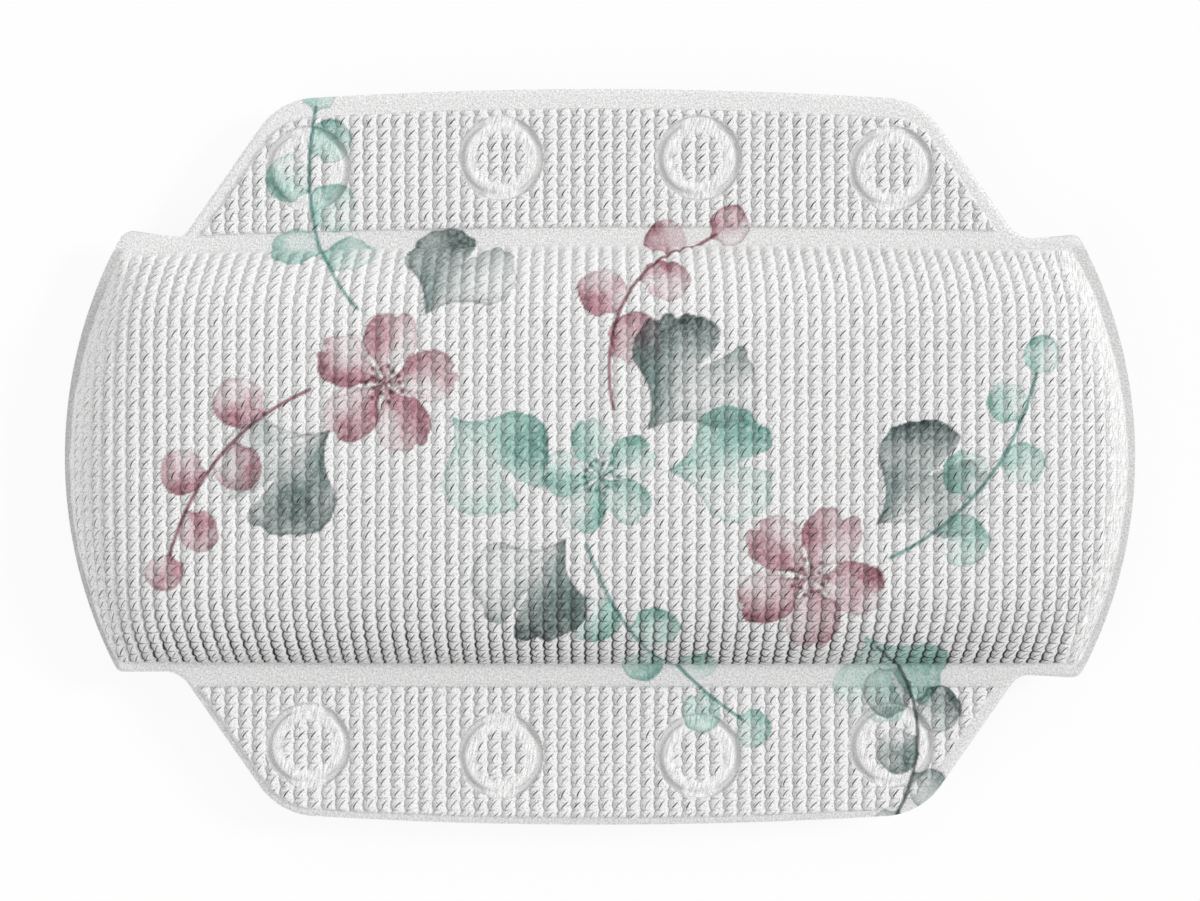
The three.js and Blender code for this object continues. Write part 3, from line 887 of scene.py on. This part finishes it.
def cut_edge(x, side):
    """The y of the cut edge over x. side is 1 at the top and -1 at the bottom.

    The edge runs along a flap's bowed end, its round corner and slanted side, the round notch beside the
    ear, and the ear's own edge.
    """
    ear = np.where(x < 0, *EAR_ENDS[side])
    rise = np.where(x < 0, *EAR_RISES[side])
    radius = np.where(x < 0, *NOTCH_RADII[side])
    x = np.abs(x)
    bow = bow_centre[1] + np.sqrt(FLAP_BOW_RADIUS**2 - x**2)
    rounded = flap_corner[1] + np.sqrt(np.clip(FLAP_CORNER**2 - (x - flap_corner[0]) ** 2, 0, None))
    slant = FOLD_Y + (FLAP_ROOT_HALF - x) * np.tan(FLAP_SLANT)
    notch_x = FLAP_ROOT_HALF + (FOLD_Y - ear) / np.tan(FLAP_SLANT)
    notch_x = notch_x + radius * (1 - np.cos(FLAP_SLANT)) / np.sin(FLAP_SLANT)
    notch = ear + radius - np.sqrt(np.clip(radius**2 - (x - notch_x) ** 2, 0, None))
    stretches = (
        (flap_corner[0] + FLAP_CORNER * to_corner[0], bow),
        (flap_corner[0] + FLAP_CORNER * outward[0], rounded),
        (notch_x - radius * outward[0], slant),
        (notch_x, notch),
    )
    edge = ear + rise * (x - notch_x)
    return np.select([x < limit for limit, _ in stretches], [line for _, line in stretches], edge)


def with_rims(points, shares, level, drop):
    """Adds the flat rim past both ends, which leans towards the seam at its cut edge.

    Here and in with_ears, a point has its x, y, z, u, v and the waffle's strength.
    """

    def place(column, share):
        made = column.copy()
        side = np.sign(column[:, 0])
        width = end_weld(column[:, 0], column[:, 1])
        made[:, 0] = side * end_reach(column[:, 1], width * (1 - share))
        made[:, 2] = level - drop * share
        made[:, 3] += side * share * width
        made[:, 5] = 0
        return made

    return widen(points, shares, 1, place)


NUDGE = 0.1  # how far to either side of a place the cut edge's slope is measured


def rolled(level, x, y, side, thinning):
    """The level of a sheet that thins towards the seam at its cut edge."""
    slope = (cut_edge(x + NUDGE, side) - cut_edge(x - NUDGE, side)) / (2 * NUDGE)
    gap = (cut_edge(x, side) - y) / np.hypot(1, slope)
    return level + (SEAM_Z - level) * thinning * smooth(1 - gap / EDGE_ROLL)


def ear_reach(y, end, corner):
    """How far out an ear reaches at y, with a round corner where its end's bow meets its cut edge."""
    corner_y = end - corner
    across = HALF_WIDTH - END_BOW_RADIUS + np.sqrt((END_BOW_RADIUS - corner) ** 2 - corner_y**2)
    rounded = across + np.sqrt(np.clip(corner**2 - (y - corner_y) ** 2, 0, None))
    return np.where(y < corner_y * END_BOW_RADIUS / (END_BOW_RADIUS - corner), end_reach(y), rounded)


def with_ears(points, shares, thinning):
    """Adds the flat ears past both sides, out to their cut edges, and gives the x that they start from."""
    root = -points[0, int(np.argmax(points[0, :, 0] > -EAR_START)) - 1, 0]

    def place(row, share):
        made = row.copy()
        side = int(np.sign(row[0, 1]))
        x = row[:, 0]
        start, end = foot(x, side), cut_edge(x, side)
        y = start + share * (end - start)
        corner = np.where(x < 0, *EAR_CORNERS[side])
        stretch = (ear_reach(y, end, corner) - root) / (ear_reach(start, end, corner) - root)
        past = np.clip(np.abs(x) - root, 0, None)
        made[:, 0] = np.sign(x) * (np.minimum(np.abs(x), root) + past * stretch)
        made[:, 1] = side * y
        made[:, 2] = rolled(made[:, 2], x, y, side, thinning)
        made[:, 4] += side * (y - start)
        made[:, 5] = 0
        return made

    return widen(points, shares, 0, place), root


SLACK = 0.01  # more than a rounding error


def leave_out_flaps(bm, root):
    """Deletes the faces past the crown's sides, where the flaps' own skins carry on."""
    spare = []
    for face in bm.faces:
        middle = face.calc_center_median() / MM
        if abs(middle.x) < root - SLACK and abs(middle.y) > foot(middle.x, middle.y) + SLACK:
            spare.append(face)
    bmesh.ops.delete(bm, geom=spare, context="FACES")


points = crown_points(column_share, row_share)
x, y = points[..., 0], points[..., 1]
from_middle = np.abs(row_share)[:, None]
tug = PULL * np.clip((from_middle - PULL_START) / (1 - PULL_START), 0, 1) ** 2
u = run_from_middle(points[..., ::2], 1) * (1 + tug)
v = run_from_middle(points[..., 1:], 0)
share_out = np.abs(x) / end_reach(y, end_weld(x, y))
wear = np.where(x < 0, LEFT_WEAR, 1)
fade = smooth((share_out - FADE_START) / FADE_WIDTH) * wear
streaks = mottle(u, v / LONG_STREAKS, size=1.5, seed=21)
streaks += FINE_STREAK * mottle(u, v / SHORT_STREAKS, size=0.9, seed=22)
lumps = smooth((share_out - FADE_START + STREAK_LEAD) / (2 * STREAK_LEAD)) * STREAK * streaks * wear
lift = (1 - FADE_DEPTH * fade) * WAFFLE_DEPTH * (waffle(u, v) - WAFFLE_LEVEL) + lumps
lift += SOFTNESS * mottle(u, v, size=26, seed=23) * crown_share(share_out.clip(0, 1), from_middle)
edge = np.minimum(foot(x, y) - np.abs(y), (1 - share_out) * HALF_WIDTH)
lift *= smooth(edge / FOOT_SOFTNESS)
normals = normals_of(points)
steep = normals[..., 1]
strength = (1 - WORN * fade) * smooth(edge / np.where(y > 0, *MARK_FADES))
# the painted shade is deeper on the slope below, which faces away from the light, and lighter on the slope
# above
strength *= 1 + LOWER_SLOPE_SHADING * np.clip(-steep, 0, 1) - UPPER_SLOPE_LIGHTENING * np.clip(steep, 0, 1)
points = np.concatenate([points + normals * lift[..., None], np.stack([u, v, strength], axis=2)], axis=2)
foot_rows = {1: points[-1].T, -1: points[0].T}
rim_shares = np.linspace(0, 1, RIM_STEPS + 1)[1:]
ear_shares = 1 - (1 - np.linspace(0, 1, EAR_STEPS + 1)[1:]) ** EAR_CROWDING
points = with_rims(points, rim_shares, WELD_Z, RIM_DROP)
points, flap_root = with_ears(points, ear_shares, EDGE_THINNING)

x, y = points[..., 0], points[..., 1]
far_in = HALF_WIDTH - END_BOW_RADIUS - np.abs(x)
inside_end = END_BOW_RADIUS - end_weld(x, y) - np.hypot(np.minimum(far_in, 0), y)
inside_end += WELD_UNEVENNESS * mottle(x, y, size=4, seed=24)
inside_side = foot(x, y) - np.abs(y)
inside = np.minimum(inside_end, inside_side)
wear_and_rim_shade = smooth((WORN_WIDTH - inside_end) / WORN_FADE)
wear_and_rim_shade *= smooth(inside_end / WELD_FOOT)
wear_and_rim_shade *= smooth(inside / WELD_FOOT)
wear_and_rim_shade *= np.where(x < 0, LEFT_WEAR, 1)
# the end rims get painted shade as well as their pressed grey, fully on the left and less on the right
on_rim = smooth(-inside_end / WELD_FOOT) * smooth(inside_side / RIM_FADE + 1)
wear_and_rim_shade -= on_rim * np.where(x < 0, 1, RIGHT_RIM)

INNER_STEPS = 80
INNER_CROWDING = 1.8


def eased(count, crowding):
    """Shares from -1 to 1, closer together towards both ends."""
    share = np.linspace(-1, 1, count + 1)
    return np.sign(share) * (1 - (1 - np.abs(share)) ** crowding)


bm = bmesh.new()
welds = np.stack([np.full(inside.shape, float(FAR)), inside, wear_and_rim_shade], axis=2)
add_surface(bm, points[..., :3], points[..., 3:], printed(points[..., 3], points[..., 4]), welds)
leave_out_flaps(bm, flap_root)
inner = eased(INNER_STEPS, INNER_CROWDING)
add_surface(bm, crown_points(inner, inner[::2], SHEET))
close_at_seam(bm)
cushion_front = finished(bm, "cushion_front_skin", front_finish)
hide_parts("cushion_front_cover")
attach(cushion_front, "cushion")


# A flap is the same sheet, carried on past the cushion's weld and welded flat along its own edge. Its four
# suction cups are welded on through it by pressed rings, and inside a ring the sheet puffs up.
FLAP_WELD_WIDTHS = {1: (3.8, 3.7, 5.6), -1: (1.8, 3.2, 1.8)}  # beside the left, right and far edges
FOLD_WELD_WIDTH = 0.8
FOLD_BOWS = {1: 2.5, -1: 0}  # how much nearer the cushion that weld ends, half a bow from its middle
WELD_SLOPE = 0.8
BEND_START = 67
BEND_END = 70.6
FLAP_STEP = 0.42
FLAP_SOFTNESS = 0.12

# The sheet's underside has a coarser grid, a little smaller than the upper one.
UNDER_STEP = 1.5
UNDER_INSET = 0.6
UNDER_CROWDING = 1.7

# A pressed ring is uneven, and shallower at its top and bottom. Inside it the sheet puffs up and is
# streaked, round a centre that keeps its waffle.
RING_INNER = RING_MIDDLE - RING_HALF
RING_OUTER = RING_MIDDLE + RING_HALF
RING_SLOPE = 0.4
RING_CLEARANCE = 0.5
RING_FADE = 0.6
SHALLOW_START = 0.84
SHALLOW_RISE = 0.12
SHALLOW_LEAST = 0.85
SHALLOW_RANGE = 0.25
SHALLOWING = 0.5
PRESSED_LEAST = 0.85
PRESSED_RANGE = 0.15
PUFF = 0.5
PUFF_RADIUS = 9.3
PUFF_WIDTH = 1.2
PUFF_INSIDE = 0.45
PUFF_FADE = 2
PUFF_LEAST = 0.8
PUFF_RANGE = 0.3
CENTRE_RADIUS = 6.8
CENTRE_FADE = 1.6
STREAKS_FADE = 1.5
STREAKS_PAST = 2.5
STREAKS_END = 0.5

cup_boxes = [box_mm(f"top_suction_cup_{number}") for number in (1, 2, 3, 4)]
cup_places = [((low + high) / 2).xy for low, high in cup_boxes]


def inside_flap(x, y):
    """How far a place lies inside the flap's side, corner and end."""
    place = np.stack([np.abs(x), y], axis=-1)
    side = (flap_root_corner - place) @ outward
    bow = FLAP_BOW_RADIUS - np.linalg.norm(place - bow_centre, axis=-1)
    from_corner = place - flap_corner
    in_corner = (from_corner @ up_side > 0) & (from_corner @ along_bow > 0)
    rounded = FLAP_CORNER - np.linalg.norm(from_corner, axis=-1)
    return np.where(in_corner, rounded, np.minimum(side, bow))


def flap_grid(side, root, step, inset=0, crowding=1.0):
    """Rows of x and y over a flap, about a step apart, from the crown's side out to the cut edge."""
    columns, rows = round(2 * root / step), round((flap_high.y - CROWN_HALF) / step)
    x = np.linspace(-1, 1, columns + 1) * (root - inset)
    share = np.linspace(0, 1, rows + 1)[:, None] ** crowding
    start = foot(x, side) + inset
    return np.broadcast_to(x, (rows + 1, columns + 1)), start + share * (cut_edge(x, side) - inset - start)


def in_field(side, x, y):
    """How far a place lies inside the part of a flap that its welds leave at full thickness."""
    left, right, far = FLAP_WELD_WIDTHS[side]
    beside = np.where(x < 0, left, right)
    round_it = smooth((np.abs(x) - flap_corner[0]) / (FLAP_CORNER * outward[0]))
    from_fold = y - FOLD_Y - FOLD_WELD_WIDTH + FOLD_BOWS[side] * weld_bow(x)
    return np.minimum(inside_flap(x, y) - far - (beside - far) * round_it, from_fold)


def flap_shell(side, root, points, *values):
    """A closed flap sheet, from its shaped face to the seam's plane. side is 1 at the top and -1 below."""
    bm = bmesh.new()
    mirror = np.array((1, side, 1))
    add_surface(bm, points * mirror, *values)
    x, y = flap_grid(side, root, UNDER_STEP, UNDER_INSET, UNDER_CROWDING)
    add_surface(bm, np.stack([x, y, np.full(x.shape, SEAM_Z)], axis=2) * mirror)
    close_at_seam(bm)
    return bm


def bend_flap(piece, flap):
    side = 1 if flap == "top_flap" else -1
    start, end = ((0, side * y * MM, WELD_Z * MM) for y in (BEND_START, BEND_END))
    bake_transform(piece)
    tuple(start)
    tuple(end)


def near_rings(x, y):
    """How far a place is from the middle of the nearest ring, and how steeply above or below it."""
    nearest, upright = np.full(x.shape, float(FAR)), np.zeros(x.shape)
    for place in cup_places:
        distance = np.hypot(x - place.x, y - place.y)
        upright = np.where(distance < nearest, np.abs(y - place.y) / distance, upright)
        nearest = np.minimum(nearest, distance)
    return nearest, upright


for flap, side in (("top_flap", 1), ("bottom_flap", -1)):
    x, y = flap_grid(side, flap_root, FLAP_STEP)
    v = side * y
    field = in_field(side, x, y)
    full = smooth(field / WELD_SLOPE)
    nearest, upright = near_rings(x, y)

    shallow = smooth((upright - SHALLOW_START) / SHALLOW_RISE)
    shallow *= SHALLOW_LEAST + SHALLOW_RANGE * mottle(x, v, size=7, seed=35)
    pressed = smooth((nearest - RING_INNER) / RING_SLOPE + 0.5)
    pressed *= smooth((RING_OUTER - nearest) / RING_SLOPE + 0.5)
    pressed *= (PRESSED_LEAST + PRESSED_RANGE * mottle(x, v, size=9, seed=33)) * (1 - SHALLOWING * shallow)
    puffed = np.exp(-(((nearest - PUFF_RADIUS) / PUFF_WIDTH) ** 2))
    puffed += PUFF_INSIDE * smooth((PUFF_RADIUS - nearest) / PUFF_FADE)
    puffed *= PUFF * (PUFF_LEAST + PUFF_RANGE * mottle(x, v, size=6, seed=34))
    smoothed = smooth((nearest - CENTRE_RADIUS) / CENTRE_FADE)
    smoothed *= smooth((RING_OUTER + RING_CLEARANCE - nearest) / RING_FADE)
    marked = full * (1 - smoothed)
    streaked = smooth((nearest - CENTRE_RADIUS) / STREAKS_FADE)
    streaked *= smooth((RING_INNER + STREAKS_PAST * shallow - nearest) / STREAKS_END)

    raised = WAFFLE_DEPTH * (waffle(x, v) - WAFFLE_LEVEL) * marked
    lift = (SHEET - WELD + puffed + raised) * full * (1 - pressed)
    lift += FLAP_SOFTNESS * mottle(x, v, size=22, seed=31) * full
    points = np.stack([x, y, rolled(WELD_Z + lift, x, y, side, EDGE_THINNING)], axis=2)
    sheet = np.stack([x, v, marked * (1 - pressed)], axis=2)
    welds = np.stack([nearest, field, streaked], axis=2)
    foot_x, _, _, foot_u, foot_v, _ = foot_rows[side]
    on_sheet = np.interp(x, foot_x, foot_u), np.interp(x, foot_x, foot_v) + side * (y - foot(x, side))
    skin = flap_shell(side, flap_root, points, sheet, printed(*on_sheet), welds)
    piece = finished(skin, flap + "_front_skin", front_finish)
    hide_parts(flap + "_front_sheet")
    bend_flap(piece, flap)


# The back is one plain sheet of the same vinyl, with a fine leathery grain and no print. It swells less
# than the front, lies flat where the pillow rests on it, and puckers a little beside its welds.
BACK_SHEET = 1.6
BACK_WELD = 0.8
BACK_WELD_Z = SEAM_Z - BACK_WELD
BACK_SWELL = 12
BACK_SIDE_FULLNESS = 4
BACK_END_FULLNESS = 9
BACK_COLUMNS = 260
BACK_ROWS = 120
BACK_CROWDING = 1.5
BACK_FLAP_STEP = 1.0
BACK_RIM_RISE = 0.25
BACK_EDGE_THINNING = 0.3
REST_ROUNDING = 1.0
REST_SINK = 0.1
PUCKER = 0.35
PUCKER_PLACE = 4  # how far inside the weld the puckers are highest
PUCKER_FADE = 2
PUCKER_STRETCH = 8

BACK_VINYL = (0.72, 0.72, 0.71, 1)
STAINED_VINYL = (0.68, 0.68, 0.66, 1)
STAIN_SCALE = 0.03
STAINS = (0.35, 0.7)
LEATHER_SCALE = 0.9
LEATHER_CREASE = 0.2
LEATHER_DEPTH = 0.05
GRAIN_SCALE = 2.5
GRAIN_DEPTH = 0.03
GRAIN_ROUGHNESS = 0.12
LEAST_ROUGHNESS = 0.4


def grained_vinyl():
    vinyl = Finish("grained vinyl", base_color=BACK_VINYL, roughness=0.45)
    sheet = vinyl.add("Attribute", {"attribute_name": "sheet"}, output="Vector")
    leather = {"Vector": sheet, "Scale": LEATHER_SCALE}
    cells = vinyl.add("TexVoronoi", {"feature": "DISTANCE_TO_EDGE"}, leather)
    creases = vinyl.between(cells, 0.0, LEATHER_CREASE)
    grain = vinyl.add("TexNoise", sockets={"Vector": sheet, "Scale": GRAIN_SCALE, "Detail": 2.0})
    stain = vinyl.add("TexNoise", sockets={"Vector": sheet, "Scale": STAIN_SCALE, "Detail": 3.0})
    height = creases * LEATHER_DEPTH + grain * GRAIN_DEPTH
    relief = vinyl.add("Bump", sockets={"Height": height, "Distance": MM, "Strength": 1.0})
    vinyl.paint("Normal", relief)
    stained = vinyl.between(stain, *STAINS)
    vinyl.paint("Base Color", vinyl.mixed(stained, BACK_VINYL, STAINED_VINYL))
    vinyl.paint("Roughness", grain * GRAIN_ROUGHNESS + LEAST_ROUGHNESS)
    return vinyl


back_finish = grained_vinyl()


def back_points(s, t, inset=0):
    """Rows of points over the back's swell, which the surface under the pillow flattens."""
    s, t = np.meshgrid(s, t)
    x, ends = spread_out(s, t * (CROWN_HALF - inset), inset)
    y = t * (foot(x, t) - inset)
    swell = (BACK_SWELL - inset) * (1 - t**BACK_SIDE_FULLNESS)
    swell *= 1 - np.clip(np.abs(x) / ends, 0, 1) ** BACK_END_FULLNESS
    level = BACK_WELD_Z - inset - swell
    level = inset + (level + np.sqrt(level**2 + REST_ROUNDING)) / 2 - REST_SINK
    return np.stack([x, y, np.minimum(level, BACK_WELD_Z)], axis=2)


points = back_points(eased(BACK_COLUMNS, BACK_CROWDING), eased(BACK_ROWS, BACK_CROWDING))
u, v = points[..., 0], points[..., 1]
inside_side = foot(u, v) - np.abs(v)
beside_weld = np.exp(-((inside_side - PUCKER_PLACE) / PUCKER_PLACE) ** 2)
beside_weld *= smooth(inside_side / PUCKER_FADE)
puckers = PUCKER * beside_weld * mottle(u, v / PUCKER_STRETCH, size=5, seed=41)
points = points + normals_of(points) * puckers[..., None]
points[..., 2] = points[..., 2].clip(0, None)
points = np.concatenate([points, np.stack([u, v, np.ones(u.shape)], axis=2)], axis=2)
points = with_rims(points, rim_shares[::3], BACK_WELD_Z, -BACK_RIM_RISE)
points, back_root = with_ears(points, ear_shares[::3], BACK_EDGE_THINNING)

bm = bmesh.new()
add_surface(bm, points[..., :3], points[..., 3:])
leave_out_flaps(bm, back_root)
add_surface(bm, back_points(inner, inner[::2], BACK_SHEET))
close_at_seam(bm)
cushion_back = finished(bm, "cushion_back_skin", back_finish)
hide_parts("cushion_back_cover")
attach(cushion_back, "cushion")

for flap, side in (("top_flap", 1), ("bottom_flap", -1)):
    x, y = flap_grid(side, back_root, BACK_FLAP_STEP)
    full = smooth(in_field(side, x, y) / WELD_SLOPE)
    level = rolled(BACK_WELD_Z - (BACK_SHEET - BACK_WELD) * full, x, y, side, BACK_EDGE_THINNING)
    sheet = np.stack([x, side * y, full], axis=2)
    skin = flap_shell(side, back_root, np.stack([x, y, level], axis=2), sheet)
    piece = finished(skin, flap + "_back_skin", back_finish)
    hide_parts(flap + "_back_sheet")
    bend_flap(piece, flap)


# The core is one block of soft polyurethane foam, cut to the cushion's plan and skived thin at its edge.
# It lies loose in the cover, which the air in the foam keeps full.
CORE_GAP = 0.3
FOAM = (0.88, 0.82, 0.62, 1)
# the pores are darkened towards this colour with painted shade
FOAM_DARK = (0.62, 0.54, 0.34, 1)
FOAM_PORE = 1.1
PORE_EDGE = (0.55, 0.2)
PORE_SHADE = 0.7
PORE_DEPTH = 0.4
CRUMB_DEPTH = 0.3


def open_foam():
    foam = Finish("open foam", base_color=FOAM, roughness=0.95)
    place = foam.add("TexCoord", output="Object")
    cells = foam.add("TexVoronoi", sockets={"Vector": place, "Scale": 1 / (FOAM_PORE * MM)})
    crumbs = foam.add("TexNoise", sockets={"Vector": place, "Scale": 2 / (FOAM_PORE * MM), "Detail": 3.0})
    pore = foam.between(cells, *PORE_EDGE)
    height = crumbs * CRUMB_DEPTH - pore * PORE_DEPTH
    foam.paint("Normal", foam.add("Bump", sockets={"Height": height, "Distance": MM, "Strength": 1.0}))
    # painted shade in the pores
    foam.paint("Base Color", foam.mixed(pore * PORE_SHADE, FOAM, FOAM_DARK))
    return foam


bm = bmesh.new()
add_surface(bm, crown_points(inner, inner[::2], SHEET + CORE_GAP))
add_surface(bm, back_points(inner, inner[::2], BACK_SHEET + CORE_GAP))
open_edges = [edge for edge in bm.edges if edge.is_boundary]
bmesh.ops.bridge_loops(bm, edges=open_edges)
bmesh.ops.recalc_face_normals(bm, faces=bm.faces)
foam_core = finished(bm, "foam_core_block", open_foam())
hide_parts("foam_core")
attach(foam_core, "cushion")


# Each suction cup is one moulding of clear soft vinyl: a thin skirt that flattens against the bath, a neck
# and a round base, which is welded to the flap's back sheet.
CUP_SKIRT = 13
CUP_SEAL = 1.2
CUP_HOLLOW = 4.9
CUP_LIP = 0.5
CUP_DOME = 6.8
CUP_NECK = 4.6
CUP_NECK_FLARE = 0.8
CUP_BASE = 13.5
CUP_BASE_THICKNESS = 1.0
UNDER_ROUND = 0.33
TOP_ROUND = 0.2
ROUND_POINTS = 5
DOME_POINTS = 20
CUP_TURNS = 96
CLEAR_VINYL = (0.86, 0.92, 0.91, 1)
HAZE_SCALE = 300.0
HAZE_ROUGHNESS = 0.3
RIPPLE_SCALE = 160.0
RIPPLE_DEPTH = 0.25


def clear_vinyl():
    vinyl = Finish("clear vinyl", base_color=CLEAR_VINYL, roughness=0.12, transmission_weight=0.88)
    place = vinyl.add("TexCoord", output="Object")
    haze = vinyl.add("TexNoise", sockets={"Vector": place, "Scale": HAZE_SCALE, "Detail": 3.0})
    ripple = vinyl.add("TexNoise", sockets={"Vector": place, "Scale": RIPPLE_SCALE, "Detail": 1.0})
    relief = {"Height": ripple * RIPPLE_DEPTH, "Distance": MM, "Strength": 1.0}
    vinyl.paint("Normal", vinyl.add("Bump", sockets=relief))
    vinyl.paint("Roughness", haze * HAZE_ROUGHNESS)
    return vinyl


def dome(half, bottom, top, stop=0.0):
    """Points (radius, level) on an arc over the axis, from its foot up to where their radius is stop."""
    rise = top - bottom
    radius = (half**2 + rise**2) / (2 * rise)
    turns = np.linspace(np.arcsin(half / radius), np.arcsin(stop / radius), DOME_POINTS)
    return [(radius * np.sin(turn), top - radius * (1 - np.cos(turn))) for turn in turns]


def rounded(corner, size, start):
    """A quarter round of this size about a corner's inner point, from the angle start, in degrees."""
    turns = np.radians(np.linspace(start, start + 90, ROUND_POINTS))
    return [(corner[0] + size * np.cos(turn), corner[1] + size * np.sin(turn)) for turn in turns]


cup_top = box_mm("top_suction_cup_1")[1].z
base_under = cup_top - CUP_BASE_THICKNESS
cup_profile = dome(CUP_SKIRT - CUP_SEAL, 0, CUP_HOLLOW)[::-1]
cup_profile += rounded((CUP_SKIRT - CUP_LIP / 2, CUP_LIP / 2), CUP_LIP / 2, -90)
cup_profile += dome(CUP_SKIRT, CUP_LIP, CUP_DOME, CUP_NECK)
cup_profile += [(CUP_NECK, base_under - CUP_NECK_FLARE)]
cup_profile += [
    (CUP_NECK + CUP_NECK_FLARE * (1 - np.cos(turn)), base_under - CUP_NECK_FLARE * (1 - np.sin(turn)))
    for turn in np.linspace(0, np.pi / 2, ROUND_POINTS)[1:]
]
cup_profile += rounded((CUP_BASE - UNDER_ROUND, base_under + UNDER_ROUND), UNDER_ROUND, -90)
cup_profile += rounded((CUP_BASE - TOP_ROUND, cup_top - TOP_ROUND), TOP_ROUND, 0)
cup_profile += [(0, cup_top)]
cup_finish = clear_vinyl()

for flap in ("top", "bottom"):
    for number in (1, 2, 3, 4):
        node = f"{flap}_suction_cup_{number}"
        low, high = box_mm(node)
        place = (low + high) / 2
        bm = bmesh.new()
        line = [bm.verts.new((place.x * MM + r * MM, place.y * MM, z * MM)) for r, z in cup_profile]
        for first, second in zip(line, line[1:]):
            bm.edges.new((first, second))
        middle = (place.x * MM, place.y * MM, 0)
        turned = dict(cent=middle, axis=(0, 0, 1), angle=2 * np.pi, steps=CUP_TURNS, use_merge=True)
        bmesh.ops.spin(bm, geom=bm.verts[:] + bm.edges[:], **turned)
        bmesh.ops.remove_doubles(bm, verts=bm.verts, dist=HAIR)
        bmesh.ops.recalc_face_normals(bm, faces=bm.faces)
        cup = finished(bm, node + "_moulding", cup_finish)
        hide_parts(node)
        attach(cup, flap + "_flap")
